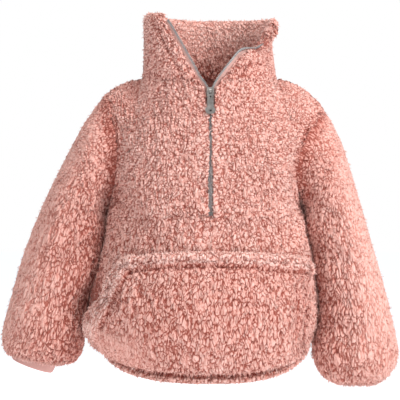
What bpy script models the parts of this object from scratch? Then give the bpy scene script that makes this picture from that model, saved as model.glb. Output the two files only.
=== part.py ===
"""Half-zip pullover in teddy fleece: stand collar, kangaroo pocket, jersey cuffs, filled out as when worn.

Metres, +Z up. The front faces -Y and +X is the viewer's right. The origin lies between the shoulders, level
with the neck seam at the sides, where a wearer holds the garment up. The walls reach to the tips of the pile.
"""

import math

import bmesh
import bpy
import numpy as np
from mathutils import Matrix, Vector

# Cloth
GAP = 0.0003  # between pieces at a seam
SET_OFF = 0.00045  # how far the collar and the sleeves start from the panels' edges
FLEECE = 0.006  # fleece wall with its pile
JERSEY = 0.002  # cuff wall, two layers of jersey
COLUMNS = 13  # columns of a panel from the middle to the side
NECK_COLUMN = 8  # the column that ends at the top of the shoulder seam
SQUARE = 2.3  # exponent of the body's rings, 2 for an ellipse
HEM_METRES = 0.35  # metres of cloth for one level near the hem
HEM_WALL = 0.0036  # the wall at the hem's very edge
SLEEVE_STEPS = 2  # rings for each row of the sleeve's table

# The body from hem (level 0) to neck (level 1): heights at the middle of the front and back and at the side,
# half widths, and depths. Above the underarm the side follows the armhole instead.
UNDERARM = 0.58


def table(columns, rows):
    """The columns of a table by name."""
    values = np.array(rows, dtype=float)
    return {name: values[:, i] for i, name in enumerate(columns.split())}


BODY = table(
    "level front_z back_z side_z left_x right_x front_y back_y",
    [
        (0.00, -0.357, -0.357, -0.303, -0.1320, 0.1185, -0.090, 0.088),
        (0.06, -0.336, -0.336, -0.286, -0.1390, 0.1240, -0.096, 0.093),
        (0.16, -0.300, -0.300, -0.262, -0.1415, 0.1265, -0.100, 0.097),
        (0.30, -0.250, -0.250, -0.229, -0.1350, 0.1230, -0.098, 0.096),
        (0.42, -0.208, -0.206, -0.196, -0.1250, 0.1175, -0.094, 0.093),
        (0.58, -0.150, -0.146, -0.157, -0.1205, 0.1090, -0.088, 0.089),
        (0.80, -0.070, -0.062, -0.090, -0.1205, 0.1090, -0.079, 0.084),
        (1.00, -0.004, 0.004, -0.025, -0.1205, 0.1090, -0.066, 0.060),
    ],
)

# Armholes, "left" and "right" as the viewer sees them: underarm, shoulder tip, and how far the curve
# scoops in towards the chest and out to the front and back.
ARMHOLE = {
    -1: dict(under=(-0.1205, -0.157), tip=(-0.128, -0.0215), scoop=0.014, front=0.046, back=0.050),
    1: dict(under=(0.1090, -0.157), tip=(0.138, -0.0385), scoop=-0.019, front=0.046, back=0.050),
}
BACK_SCOOP = 0.6  # the back's curve scoops in less than the front's
NECK_X = {-1: -0.078, 1: 0.077}
SHOULDER_CURVE = 2.1  # how the shoulder seam drops, 1 for a straight line
BLEND_FROM = 0.62  # level from which the rows turn towards the neckline and shoulder seam
BLEND_CURVE = 2

# Zip
SLIT_HALF = 0.0049
SLIT_BOTTOM_Z = -0.166
SLIT_END = 0.004  # levels over which the slit's lower end squares off
V_BOTTOM_Z = -0.0195  # the slider's top, where the two edges part
V_SPREAD = {-1: 0.667, 1: 0.55}  # how far each edge moves out for each metre up

# Collar from the neck seam (height 0) to its top fold (height 1): where it stands at the sides, front and back,
# the angle from straight ahead at which each front edge ends, and heights at the edges, sides and back.
COLLAR = table(
    "height left_x right_x front_y back_y left_z back_z right_z left_deg left_edge_z right_deg right_edge_z wall",
    [
        (0.00, -0.0780, 0.0770, -0.066, 0.0600, 0.000, 0.004, -0.001, 11.2, -0.0040, 9.7, -0.0040, 0.0070),
        (0.33, -0.0765, 0.0735, -0.064, 0.0605, 0.023, 0.026, 0.021, 22.0, 0.0200, 19.8, 0.0108, 0.0080),
        (0.60, -0.0760, 0.0715, -0.061, 0.0610, 0.043, 0.044, 0.039, 31.5, 0.0400, 30.0, 0.0235, 0.0100),
        (0.80, -0.0760, 0.0735, -0.059, 0.0620, 0.058, 0.057, 0.052, 39.5, 0.0550, 43.5, 0.0325, 0.0115),
        (1.00, -0.0760, 0.0795, -0.057, 0.0640, 0.071, 0.069, 0.064, 47.8, 0.0680, 62.5, 0.0450, 0.0120),
    ],
)
COLLAR_COLUMNS = (0.0, 0.05, 0.14, 0.26, 0.38, 0.5, 0.625, 0.75, 0.875, 1.0)
COLLAR_HEIGHTS = (0.0, 0.12, 0.25, 0.38, 0.5, 0.62, 0.73, 0.83, 0.92, 1.0)
COLLAR_TILT = 0.3  # how much of its lean the collar's wall thickness follows
EDGE_TUCK = 0.20  # how far the collar's front edge rounds off, in walls
TOP_ROUND = ((0.16, 0.30), (0.44, 0.48))  # inset and rise over the top fold, in walls
TAPE_ACROSS = (0.0004, 0.0017)  # from the fleece's edge into the opening
TAPE_OUT = (-0.0030, -0.0020)  # the tape's two faces, measured out of the pile's tips
TEETH_ACROSS = (0.0023, 0.0045)
TEETH_OUT = (-0.0030, -0.0012)
ZIP_TOP = 0.92  # collar height at which the teeth end
ZIP_STEPS = 44

# Sleeves from the armhole down. Each row is one section: its inner and outer points seen from the front, half
# its depth, the height of its middle line in depth, and the wall there. The last rows turn under.
SLEEVE_COLUMNS = "inner_x inner_z outer_x outer_z depth middle_y wall"
SLEEVES = {
    -1: table(
        SLEEVE_COLUMNS,
        [
            (-0.1225, -0.162, -0.149, -0.050, 0.0500, 0.001, 0.006),
            (-0.1245, -0.170, -0.170, -0.089, 0.0510, 0.000, 0.006),
            (-0.1258, -0.180, -0.186, -0.121, 0.0500, -0.002, 0.006),
            (-0.1278, -0.195, -0.199, -0.149, 0.0490, -0.004, 0.006),
            (-0.1328, -0.216, -0.212, -0.180, 0.0480, -0.006, 0.006),
            (-0.1415, -0.243, -0.225, -0.216, 0.0480, -0.008, 0.006),
            (-0.1485, -0.270, -0.235, -0.251, 0.0480, -0.010, 0.006),
            (-0.1520, -0.295, -0.243, -0.281, 0.0475, -0.012, 0.006),
            (-0.1555, -0.315, -0.248, -0.303, 0.0460, -0.013, 0.006),
            (-0.1600, -0.330, -0.247, -0.319, 0.0420, -0.014, 0.005),
            (-0.1680, -0.3395, -0.242, -0.3265, 0.0350, -0.014, 0.004),
            (-0.1780, -0.3410, -0.2365, -0.3275, 0.0285, -0.014, 0.003),
            (-0.1795, -0.3340, -0.2350, -0.3205, 0.0275, -0.014, 0.003),
        ],
    ),
    1: table(
        SLEEVE_COLUMNS,
        [
            (0.1105, -0.162, 0.154, -0.067, 0.0500, 0.001, 0.006),
            (0.1115, -0.170, 0.165, -0.098, 0.0510, 0.000, 0.006),
            (0.1145, -0.181, 0.174, -0.130, 0.0500, -0.002, 0.006),
            (0.1190, -0.197, 0.183, -0.160, 0.0490, -0.004, 0.006),
            (0.1235, -0.217, 0.192, -0.194, 0.0480, -0.006, 0.006),
            (0.1280, -0.243, 0.203, -0.230, 0.0485, -0.008, 0.006),
            (0.1310, -0.268, 0.212, -0.264, 0.0490, -0.010, 0.006),
            (0.1290, -0.292, 0.219, -0.294, 0.0500, -0.011, 0.006),
            (0.1265, -0.312, 0.2245, -0.320, 0.0500, -0.012, 0.006),
            (0.1285, -0.334, 0.2235, -0.338, 0.0480, -0.013, 0.006),
            (0.1370, -0.352, 0.2140, -0.353, 0.0410, -0.013, 0.006),
            (0.1480, -0.3625, 0.2000, -0.3625, 0.0310, -0.013, 0.005),
            (0.1560, -0.3630, 0.1910, -0.3630, 0.0230, -0.013, 0.003),
            (0.1560, -0.3540, 0.1910, -0.3540, 0.0220, -0.013, 0.003),
        ],
    ),
}
CUFF_COLUMNS = "inner_x inner_z outer_x outer_z depth"
CUFFS = {
    -1: table(
        CUFF_COLUMNS,
        [
            (-0.1794, -0.3299, -0.2332, -0.3168, 0.0266),
            (-0.1804, -0.3338, -0.2342, -0.3207, 0.0266),
            (-0.1840, -0.3450, -0.2352, -0.3285, 0.0255),
            (-0.1880, -0.3520, -0.2360, -0.3345, 0.0242),
        ],
    ),
    1: table(
        CUFF_COLUMNS,
        [
            (0.1568, -0.3470, 0.1902, -0.3470, 0.0212),
            (0.1568, -0.3540, 0.1902, -0.3540, 0.0212),
            (0.1576, -0.3600, 0.1894, -0.3600, 0.0205),
        ],
    ),
}
CUFF_MIDDLE_Y = {-1: -0.014, 1: -0.013}
CUFF_SIDES = 24
CUFF_STEPS = 2  # rings for each row of the cuff's table

# Kangaroo pocket on the front: its hand openings run from the top edge down and out.
POCKET_TOP_LEVEL = 0.428
POCKET_TOP_DROP = {-1: 0.033, 1: 0.045}  # how far the top edge's level falls by its ends
POCKET_LOW_LEVEL = 0.040
POCKET_EDGE = {  # the panel column, 0 to 1, at which the pocket ends, from its bottom to its top
    -1: table("share column", [(0.0, 0.79), (0.24, 0.80), (0.6, 0.67), (1.0, 0.53)]),
    1: table("share column", [(0.0, 0.70), (0.30, 0.71), (0.6, 0.73), (1.0, 0.70)]),
}
POCKET_GAPE = {-1: 0.014, 1: 0.010}  # how far each hand opening stands off the front
POCKET_LOOSE = 0.0070  # how far its middle does
POCKET_SEAT = 0.0004
POCKET_SIZE = (0.20, 0.135)  # the patch's mean width and height, flat
POCKET_ROWS = (0.0, 0.03, 0.09, 0.18, 0.27, 0.36, 0.455, 0.55, 0.64, 0.73, 0.82)  # below the turned top edge
POCKET_COLUMNS = 11  # between the turned side edges
POCKET_TURN = 0.001  # the wall is thinner by this at its turned edges

# Turned edges: how far the cloth stands out at distances from a stitched edge, as a roll and then a groove.
ROLL_AT = (0.0, 0.0035, 0.0070, 0.0100, 0.0135)
ROLL_OUT = (-0.0010, 0.0026, 0.0022, -0.0012, 0.0)
HEM_ROLL = 0.6  # the hem's roll beside the pocket's

# Main folds as soft valleys, seen from the front: face -1 front or 1 back, the two ends, width and depth.
FOLDS = table(
    "face x1 z1 x2 z2 width depth",
    [
        (-1, -0.110, -0.055, -0.108, -0.142, 0.0110, 0.0060),
        (-1, 0.104, -0.098, 0.106, -0.146, 0.0100, 0.0060),
        (-1, 0.082, -0.036, 0.116, -0.064, 0.0110, 0.0040),
        (-1, -0.095, -0.165, -0.060, -0.188, 0.0100, 0.0030),
        (-1, 0.098, -0.160, 0.066, -0.190, 0.0100, 0.0030),
        (-1, -0.128, -0.190, -0.170, -0.212, 0.0090, 0.0045),
        (-1, -0.152, -0.265, -0.198, -0.288, 0.0100, 0.0040),
        (-1, -0.236, -0.300, -0.196, -0.322, 0.0080, 0.0035),
        (-1, 0.128, -0.205, 0.168, -0.222, 0.0090, 0.0045),
        (-1, 0.138, -0.290, 0.184, -0.304, 0.0100, 0.0040),
        (-1, 0.214, -0.322, 0.176, -0.340, 0.0080, 0.0035),
        (1, -0.108, -0.060, -0.106, -0.140, 0.0110, 0.0055),
        (1, 0.106, -0.070, 0.106, -0.142, 0.0110, 0.0055),
        (1, -0.070, -0.120, -0.020, -0.136, 0.0120, 0.0035),
        (1, 0.074, -0.128, 0.018, -0.150, 0.0120, 0.0035),
        (1, -0.110, -0.255, -0.040, -0.272, 0.0130, 0.0040),
        (1, 0.098, -0.262, 0.030, -0.286, 0.0130, 0.0040),
        (1, -0.136, -0.205, -0.182, -0.222, 0.0100, 0.0045),
        (1, -0.160, -0.282, -0.206, -0.300, 0.0100, 0.0040),
        (1, 0.130, -0.212, 0.174, -0.232, 0.0100, 0.0045),
        (1, 0.146, -0.300, 0.196, -0.316, 0.0100, 0.0040),
    ],
)

PINK = (0.624, 0.296, 0.251)
DUSTY_PINK = (0.539, 0.288, 0.254)
PALE_PINK = (0.680, 0.420, 0.370)
STEEL = (0.32, 0.31, 0.30)


def material(name, colour, roughness, metallic=0.0):
    made = bpy.data.materials.new(name)
    made.use_nodes = True
    shader = made.node_tree.nodes["Principled BSDF"]
    shader.inputs["Base Color"].default_value = (*colour, 1.0)
    shader.inputs["Roughness"].default_value = roughness
    shader.inputs["Metallic"].default_value = metallic
    return made


def curve(knots, values, at):
    """A smooth curve through the values at the knots, read at any places between them."""
    knots = np.asarray(knots, dtype=float)
    values = np.asarray(values, dtype=float)
    slopes = np.gradient(values, knots, axis=0)
    at = np.clip(np.asarray(at, dtype=float), knots[0], knots[-1])
    k = np.clip(np.searchsorted(knots, at, side="right") - 1, 0, len(knots) - 2)
    step = knots[k + 1] - knots[k]
    t = (at - knots[k]) / step
    if values.ndim > 1:
        t = t.reshape(-1, *[1] * (values.ndim - 1))
        step = step.reshape(t.shape)
    start = (2 * t**3 - 3 * t**2 + 1) * values[k] + (t**3 - 2 * t**2 + t) * step * slopes[k]
    end = (3 * t**2 - 2 * t**3) * values[k + 1] + (t**3 - t**2) * step * slopes[k + 1]
    return start + end


def stack(x, y, z):
    """Points from coordinates of any matching shapes."""
    return np.stack(np.broadcast_arrays(x, y, z), axis=-1).astype(float)


def unit(vectors):
    length = np.linalg.norm(vectors, axis=-1, keepdims=True)
    return vectors / np.maximum(length, 1e-12)


def quads(index, flip=False):
    """The four-sided faces of a grid of vertex numbers."""
    corners = (index[:-1, :-1], index[:-1, 1:], index[1:, 1:], index[1:, :-1])
    faces = np.stack(corners, axis=-1).reshape(-1, 4)
    return faces[:, ::-1] if flip else faces


def vertex_normals(points, faces):
    """Unit normals at the points, averaged over the faces around each."""
    a, b, c, d = (points[faces[:, i]] for i in range(4))
    across = np.cross(c - a, d - b)
    total = np.zeros_like(points)
    for i in range(4):
        np.add.at(total, faces[:, i], across)
    return unit(total)


def shell(name, outer, inner, faces, finish):
    """A closed wall: the outer faces, the same faces inside, and strips along every open edge."""
    count = len(outer)
    directed = {(int(f[i]), int(f[(i + 1) % 4])) for f in faces for i in range(4)}
    rim = [(a, b) for a, b in directed if (b, a) not in directed]
    rim.sort()
    all_faces = [tuple(int(v) for v in f) for f in faces]
    all_faces += [tuple(int(v) + count for v in f[::-1]) for f in faces]
    all_faces += [(b, a, a + count, b + count) for a, b in rim]
    mesh = bpy.data.meshes.new(name)
    mesh.from_pydata(np.concatenate([outer, inner]).tolist(), [], all_faces)
    piece = bpy.data.objects.new(name, mesh)
    bpy.context.scene.collection.objects.link(piece)
    mesh.materials.append(finish)
    mesh.shade_smooth()
    return piece


def folded(points, normals):
    """Points pressed in along the main folds."""
    out = points.copy()
    for i in range(len(FOLDS["face"])):
        start = np.array([FOLDS["x1"][i], FOLDS["z1"][i]])
        run = np.array([FOLDS["x2"][i], FOLDS["z2"][i]]) - start
        length = np.linalg.norm(run)
        away = points[..., [0, 2]] - start
        along = away @ run / length**2
        off = away - np.clip(along, 0, 1)[..., None] * run
        near = np.exp(-((np.linalg.norm(off, axis=-1) / FOLDS["width"][i]) ** 2))
        facing = np.clip(normals[..., 1] * FOLDS["face"][i] * 2.0, 0, 1)
        out -= normals * (FOLDS["depth"][i] * near * facing)[..., None]
    return out


def armhole(face, side, rise):
    """The armhole's edge from the underarm (rise 0) over the front or back to the shoulder tip (rise 1)."""
    hole = ARMHOLE[side]
    swing = np.sin(math.pi * rise)
    share = 0.5 - 0.5 * np.cos(math.pi * rise)
    reach = hole["front"] if face < 0 else hole["back"]
    scoop = hole["scoop"] if face < 0 else hole["scoop"] * BACK_SCOOP
    x = hole["under"][0] + (hole["tip"][0] - hole["under"][0]) * share + scoop * swing**2
    z = hole["under"][1] + (hole["tip"][1] - hole["under"][1]) * share
    return stack(x, face * reach * swing, z)


def armhole_normals(face, side, points):
    """Normals for the armhole's seam: straight out of its loop, so that its two faces lie flat together."""
    hole = ARMHOLE[side]
    half = (hole["tip"][1] - hole["under"][1]) / 2
    middle = (hole["tip"][1] + hole["under"][1]) / 2
    reach = hole["front"] if face < 0 else hole["back"]
    return unit(stack(0.0, points[:, 1] / reach**2, (points[:, 2] - middle) / half**2))


def rows_at(face, side, column, level):
    """The body's rows before they turn to the neckline: rounded rings from the middle to the side."""
    middle = "front" if face < 0 else "back"
    middle_y = curve(BODY["level"], BODY[middle + "_y"], level)
    middle_z = curve(BODY["level"], BODY[middle + "_z"], level)
    rise = np.clip((level - UNDERARM) / (1 - UNDERARM), 0, 1)
    edge = armhole(face, side, rise)
    below = level < UNDERARM
    side_x = curve(BODY["level"], BODY["left_x" if side < 0 else "right_x"], level)
    side_x = np.where(below, side_x, edge[..., 0])
    side_z = np.where(below, curve(BODY["level"], BODY["side_z"], level), edge[..., 2])
    side_y = np.where(below, 0.0, edge[..., 1])
    angle = column * math.pi / 2
    out = np.clip(np.sin(angle), 0, 1) ** (2 / SQUARE)
    forward = np.clip(np.cos(angle), 0, 1) ** (2 / SQUARE)
    drop = forward * (1.2 - 0.2 * forward**2)
    return stack(side_x * out, side_y + (middle_y - side_y) * forward, side_z + (middle_z - side_z) * drop)


def top_edge(face, side, column):
    """The neckline from its middle to the neck point, then the shoulder seam to the armhole's tip."""
    turn = NECK_COLUMN / COLUMNS
    angle = np.clip(column / turn, 0, 1) * math.pi / 2
    down = np.clip((column - turn) / (1 - turn), 0, 1)
    middle = "front" if face < 0 else "back"
    neck = NECK_X[side]
    tip = ARMHOLE[side]["tip"]
    x = neck * np.sin(angle) + (tip[0] - neck) * down
    y = BODY[middle + "_y"][-1] * np.cos(angle)
    z = BODY[middle + "_z"][-1] * np.cos(angle) ** 2 + tip[1] * down**SHOULDER_CURVE
    return stack(x, y, z)


def body_points(face, side, column, level):
    """The body's outer surface. Column 0 is the middle and 1 the side seam or armhole."""
    base = rows_at(face, side, column, level)
    share = np.clip((level - BLEND_FROM) / (1 - BLEND_FROM), 0, 1) ** BLEND_CURVE
    last = rows_at(face, side, column, np.ones_like(level))
    points = base + share[..., None] * (top_edge(face, side, column) - last)
    if face < 0:
        slit_level = level_of(SLIT_BOTTOM_Z)
        opened = np.clip((level - slit_level) / SLIT_END, 0, 1)
        spread = np.maximum(points[..., 2] - V_BOTTOM_Z, 0) * V_SPREAD[side]
        points[..., 0] += side * (SLIT_HALF * opened + spread) * (1 - column) ** 2
    return points


def level_of(z):
    """The level at which the middle of the front is at a height."""
    levels = np.linspace(0, 1, 401)
    return float(np.interp(z, curve(BODY["level"], BODY["front_z"], levels), levels))


def roll(distance):
    """How far a turned edge stands out at a distance from the edge."""
    return np.interp(distance, ROLL_AT, ROLL_OUT)


def panel_levels():
    """The panel's rows: close together at the hem's roll and the slit's end, even from the underarm up."""
    hem = [0.0, 0.0100, 0.0200, 0.0285, 0.0385]
    slit = level_of(SLIT_BOTTOM_Z)
    lower = [0.07, 0.11, 0.15, 0.20, 0.25, 0.30, 0.35, 0.40, 0.45, 0.495, slit, slit + SLIT_END]
    upper = list(np.linspace(UNDERARM, 1.0, 12))
    return np.array(hem + lower + upper)


def panel(name, face, finish):
    """The front or back: two halves that share their middle column, but for the slit. Returns its edges too."""
    levels = panel_levels()
    columns = np.linspace(0, 1, COLUMNS + 1)
    level, column = np.meshgrid(levels, columns, indexing="ij")
    halves = {side: body_points(face, side, column, level) for side in (-1, 1)}
    count = level.size
    index = {-1: np.arange(count).reshape(level.shape), 1: np.arange(count).reshape(level.shape) + count}
    whole = levels <= level_of(SLIT_BOTTOM_Z) + 1e-9 if face < 0 else levels > -1
    index[1][whole, 0] = index[-1][whole, 0]
    points = np.concatenate([halves[-1].reshape(-1, 3), halves[1].reshape(-1, 3)])
    faces = np.concatenate([quads(index[side], flip=(side * face > 0)) for side in (-1, 1)])
    normals = vertex_normals(points, faces)
    sides = np.concatenate([index[-1][:, -1], index[1][:, -1]])
    seam = points[sides, 1] ** 2 < 1e-10
    shoulder = np.concatenate([index[s][-1, NECK_COLUMN:] for s in (-1, 1)])
    flat = np.concatenate([sides[seam], shoulder])
    for side in (-1, 1):
        rim = index[side][levels > UNDERARM - 1e-9, -1]
        normals[rim] = armhole_normals(face, side, points[rim])
    normals[flat, 1] = 0
    normals = unit(normals)
    points = folded(points, normals)
    points[flat, 1] = face * GAP / 2
    lift = roll(level * HEM_METRES) * HEM_ROLL
    thick = np.full(level.shape, FLEECE) + lift
    thick[0, :] = HEM_WALL
    lift = np.concatenate([lift.ravel()] * 2)
    thick = np.concatenate([thick.ravel()] * 2)
    outer = points + normals * lift[:, None]
    inner = outer - normals * thick[:, None]
    inner[flat, 1] = face * GAP / 2
    used = np.unique(faces)
    renumber = np.full(len(points), -1)
    renumber[used] = np.arange(len(used))
    shell(name, outer[used], inner[used], renumber[faces], finish)
    return {side: (outer[index[side]], normals[index[side]]) for side in (-1, 1)}


def edge_loop(front, back, side):
    """The armhole's loop of outer points and normals: underarm, front, shoulder tip, back."""
    start = int(np.argmin(np.abs(panel_levels() - UNDERARM)))
    (front_points, front_normals), (back_points, back_normals) = front[side], back[side]
    points = [front_points[start:, -1], back_points[start:, -1]]
    normals = [front_normals[start:, -1], back_normals[start:, -1]]
    loop = np.concatenate([points[0], points[1][-2:0:-1]])
    out = np.concatenate([normals[0], normals[1][-2:0:-1]])
    last = len(points[0]) - 1
    for place, row in ((0, 0), (last, -1)):
        loop[place] = (points[0][row] + points[1][row]) / 2
        out[place] = unit(normals[0][row] + normals[1][row])
    return loop, out


def sleeve(name, side, front, back, finish):
    """A tube from the armhole's loop through the sections, whose end turns under to the cuff."""
    loop, loop_normals = edge_loop(front, back, side)
    around = len(loop)
    turn = np.arange(around) * 2 * math.pi / around
    rows = SLEEVES[side]
    along = np.roll(loop, -1, axis=0) - np.roll(loop, 1, axis=0)
    away = unit(np.cross(along, loop_normals)) * -side
    away *= np.sign(np.sum(away[:, 0])) * side
    sections = [loop + away * SET_OFF]
    for i in range(len(rows["inner_x"])):
        inner = np.array([rows["inner_x"][i], rows["middle_y"][i], rows["inner_z"][i]])
        outer = np.array([rows["outer_x"][i], rows["middle_y"][i], rows["outer_z"][i]])
        middle = (inner + outer) / 2
        depth = np.array([0, -rows["depth"][i], 0])
        sections.append(middle + np.outer(np.cos(turn), inner - middle) + np.outer(np.sin(turn), depth))
    knots = np.arange(len(sections))
    places = np.linspace(0, knots[-1], knots[-1] * SLEEVE_STEPS + 1)
    grid = curve(knots, np.array(sections), places)
    index = np.arange(grid.shape[0] * around).reshape(grid.shape[0], around)
    wrapped = np.concatenate([index, index[:, :1]], axis=1)
    faces = quads(wrapped, flip=side > 0)
    points = grid.reshape(-1, 3)
    normals = vertex_normals(points, faces)
    normals[:around] = loop_normals
    walls = np.concatenate([[FLEECE], rows["wall"]])
    wall = np.repeat(np.interp(places, knots, walls), around)
    body = np.repeat(places > 0, around)
    outer = np.where(body[:, None], folded(points, normals), points)
    inner = outer - normals * wall[:, None]
    return shell(name, outer, inner, faces, finish)


def cuff(name, side, finish):
    """A band of jersey that comes out of the turned end of the sleeve."""
    rows = CUFFS[side]
    around = CUFF_SIDES
    turn = np.arange(around) * 2 * math.pi / around
    rings = []
    for i in range(len(rows["inner_x"])):
        inner = np.array([rows["inner_x"][i], CUFF_MIDDLE_Y[side], rows["inner_z"][i]])
        outer = np.array([rows["outer_x"][i], CUFF_MIDDLE_Y[side], rows["outer_z"][i]])
        middle = (inner + outer) / 2
        depth = np.array([0, -rows["depth"][i], 0])
        rings.append(middle + np.outer(np.cos(turn), inner - middle) + np.outer(np.sin(turn), depth))
    knots = np.arange(len(rings))
    grid = curve(knots, np.array(rings), np.linspace(0, knots[-1], knots[-1] * CUFF_STEPS + 1))
    index = np.arange(grid.shape[0] * around).reshape(grid.shape[0], around)
    faces = quads(np.concatenate([index, index[:, :1]], axis=1), flip=side > 0)
    points = grid.reshape(-1, 3)
    normals = vertex_normals(points, faces)
    return shell(name, points, points - normals * JERSEY, faces, finish)


def collar_at(side, degrees, height):
    """The collar's outer surface at an angle from straight ahead and a height, before it meets the neckline."""
    at = {name: curve(COLLAR["height"], COLLAR[name], height) for name in COLLAR if name != "height"}
    which = "left" if side < 0 else "right"
    angle = np.radians(degrees)
    ahead = degrees < 90
    edge = np.sin(np.radians(at[which + "_deg"])) ** 2
    share = np.clip((np.sin(angle) ** 2 - edge) / (1 - edge), 0, 1)
    front_z = at[which + "_edge_z"] + (at[which + "_z"] - at[which + "_edge_z"]) * share
    back_z = at[which + "_z"] + (at["back_z"] - at[which + "_z"]) * np.cos(angle) ** 2
    depth = np.where(ahead, at["front_y"], -at["back_y"])
    return stack(at[which + "_x"] * np.sin(angle), depth * np.cos(angle), np.where(ahead, front_z, back_z))


def collar_half(side, columns, heights):
    """One half of the collar, from its front edge to the middle of the back. Columns count 0 to 2."""
    which = "left" if side < 0 else "right"
    edges = curve(COLLAR["height"], COLLAR[which + "_deg"], heights)
    turn = NECK_COLUMN / COLUMNS
    ahead = columns <= 1
    front = body_points(-1, side, np.where(ahead, columns, 1) * turn, np.ones_like(columns))
    rear = body_points(1, side, np.where(ahead, 1, 2 - columns) * turn, np.ones_like(columns))
    base = np.where(ahead[:, None], front, rear)
    base_degrees = np.where(ahead, edges[0] + (90 - edges[0]) * columns, 90 * columns)
    share = (180 - base_degrees) / (180 - edges[0])
    degrees = 180 - share[None, :] * (180 - edges[:, None])
    height = np.repeat(heights[:, None], len(columns), axis=1)
    start = collar_at(side, np.repeat(base_degrees[None], len(heights), axis=0), height * 0)
    points = base[None] + collar_at(side, degrees, height) - start
    points[..., 2] += SET_OFF
    return points


def collar(name, finish):
    """The stand collar: fleece folded double over its top edge, with round top and front edges."""
    one = np.array(COLLAR_COLUMNS)
    columns = np.concatenate([one, 2 - one[-2::-1]])
    heights = np.array(COLLAR_HEIGHTS)
    left = collar_half(-1, columns, heights)
    right = collar_half(1, columns, heights)
    grid = np.concatenate([left, right[:, -2::-1]], axis=1)
    wall = curve(COLLAR["height"], COLLAR["wall"], heights)
    for _ in TOP_ROUND:
        grid = np.concatenate([grid, grid[-1:]], axis=0)
        wall = np.append(wall, wall[-1])
    rows, count = grid.shape[:2]
    index = np.arange(rows * count).reshape(rows, count)
    faces = quads(index, flip=True)
    flat = vertex_normals(grid[: len(heights)].reshape(-1, 3), quads(index[: len(heights)], flip=True))
    normals = flat.reshape(len(heights), count, 3)
    normals[..., 2] *= COLLAR_TILT
    normals = unit(normals)
    normals = np.concatenate([normals] + [normals[-1:]] * len(TOP_ROUND), axis=0)
    inset = np.zeros((rows, count))
    rise = np.zeros((rows, count))
    for i, (tuck, up) in enumerate(TOP_ROUND):
        inset[len(heights) + i] = tuck
        rise[len(heights) + i] = up
    inset[:, [0, -1]] = np.maximum(inset[:, [0, -1]], EDGE_TUCK)
    thick = np.repeat(wall[:, None], count, axis=1)
    up = stack(np.zeros_like(rise), np.zeros_like(rise), rise * thick)
    outer = grid - normals * (inset * thick)[..., None] + up
    inner = grid - normals * ((1 - inset) * thick)[..., None] + up
    shell(name, outer.reshape(-1, 3), inner.reshape(-1, 3), faces, finish)
    last = len(heights)
    return {-1: (outer[:last, 0], normals[:last, 0]), 1: (outer[:last, -1], normals[:last, -1])}


def pocket(name, finish):
    """A patch made from the front's own surface moved out, loose in the middle and at its hand openings."""
    width, height = POCKET_SIZE
    edge = np.array(ROLL_AT)
    shares = np.concatenate([POCKET_ROWS, 1 - edge[::-1] / height])
    inner_columns = np.linspace(0, 1, POCKET_COLUMNS + 2)[1:-1]
    first = edge / width
    span = 1 - 2 * first[-1]
    places = np.concatenate([first, first[-1] + inner_columns * span, 1 - first[::-1]])
    share, place = np.meshgrid(shares, places, indexing="ij")
    left = curve(POCKET_EDGE[-1]["share"], POCKET_EDGE[-1]["column"], share)
    right = curve(POCKET_EDGE[1]["share"], POCKET_EDGE[1]["column"], share)
    column = -left + (left + right) * place
    drop = np.where(column < 0, POCKET_TOP_DROP[-1], POCKET_TOP_DROP[1])
    reach = np.where(column < 0, POCKET_EDGE[-1]["column"][-1], POCKET_EDGE[1]["column"][-1])
    top = POCKET_TOP_LEVEL - drop * np.clip(np.abs(column) / reach, 0, 1.2) ** 2
    level = POCKET_LOW_LEVEL + (top - POCKET_LOW_LEVEL) * share
    left_points = body_points(-1, -1, np.abs(column), level)
    right_points = body_points(-1, 1, np.abs(column), level)
    base = np.where((column < 0)[..., None], left_points, right_points)
    index = np.arange(base.shape[0] * base.shape[1]).reshape(base.shape[:2])
    faces = quads(index)
    points = base.reshape(-1, 3)
    normals = vertex_normals(points, faces)
    points = folded(points, normals)
    pouch = np.sin(math.pi * np.clip(share, 0, 1)) ** 0.8
    gape = POCKET_GAPE[-1] * (1 - place) ** 3 + POCKET_GAPE[1] * place**3 + POCKET_LOOSE * 4 * place * (1 - place)
    loose = (POCKET_SEAT + pouch * gape).ravel()
    from_edge = np.minimum(np.minimum(place, 1 - place) * width, (1 - share) * height).ravel()
    raised = roll(from_edge)
    at_rim = from_edge < 1e-9
    inner = points + normals * (loose + np.where(at_rim, POCKET_TURN, 0))[:, None]
    outer = points + normals * (loose + FLEECE + raised)[:, None]
    return shell(name, outer, inner, faces, finish)


def zip_path(side, front, collar_edges):
    """The fleece's edge along the zip: up the slit, then up the collar's front edge."""
    slit_points, slit_normals = front[side]
    levels = panel_levels()
    first = int(np.argmax(levels > level_of(SLIT_BOTTOM_Z) + SLIT_END / 2))
    up_front = slit_points[first:, 0]
    collar_points, collar_normals = collar_edges[side]
    heights = np.array(COLLAR_HEIGHTS)
    keep = (heights <= ZIP_TOP) & (heights > 0)
    tuck = EDGE_TUCK * curve(COLLAR["height"], COLLAR["wall"], heights)
    raised = collar_points + collar_normals * tuck[:, None]
    points = np.concatenate([up_front, raised[keep]])
    normals = np.concatenate([slit_normals[first:, 0], collar_normals[keep]])
    lengths = np.concatenate([[0], np.cumsum(np.linalg.norm(np.diff(points, axis=0), axis=1))])
    places = np.linspace(0, lengths[-1], ZIP_STEPS)
    places = np.sort(np.append(places, np.interp(V_BOTTOM_Z, points[:, 2], lengths)))
    smooth_points = curve(lengths, points, places)
    smooth_normals = unit(curve(lengths, normals, places))
    return smooth_points, smooth_normals


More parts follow.
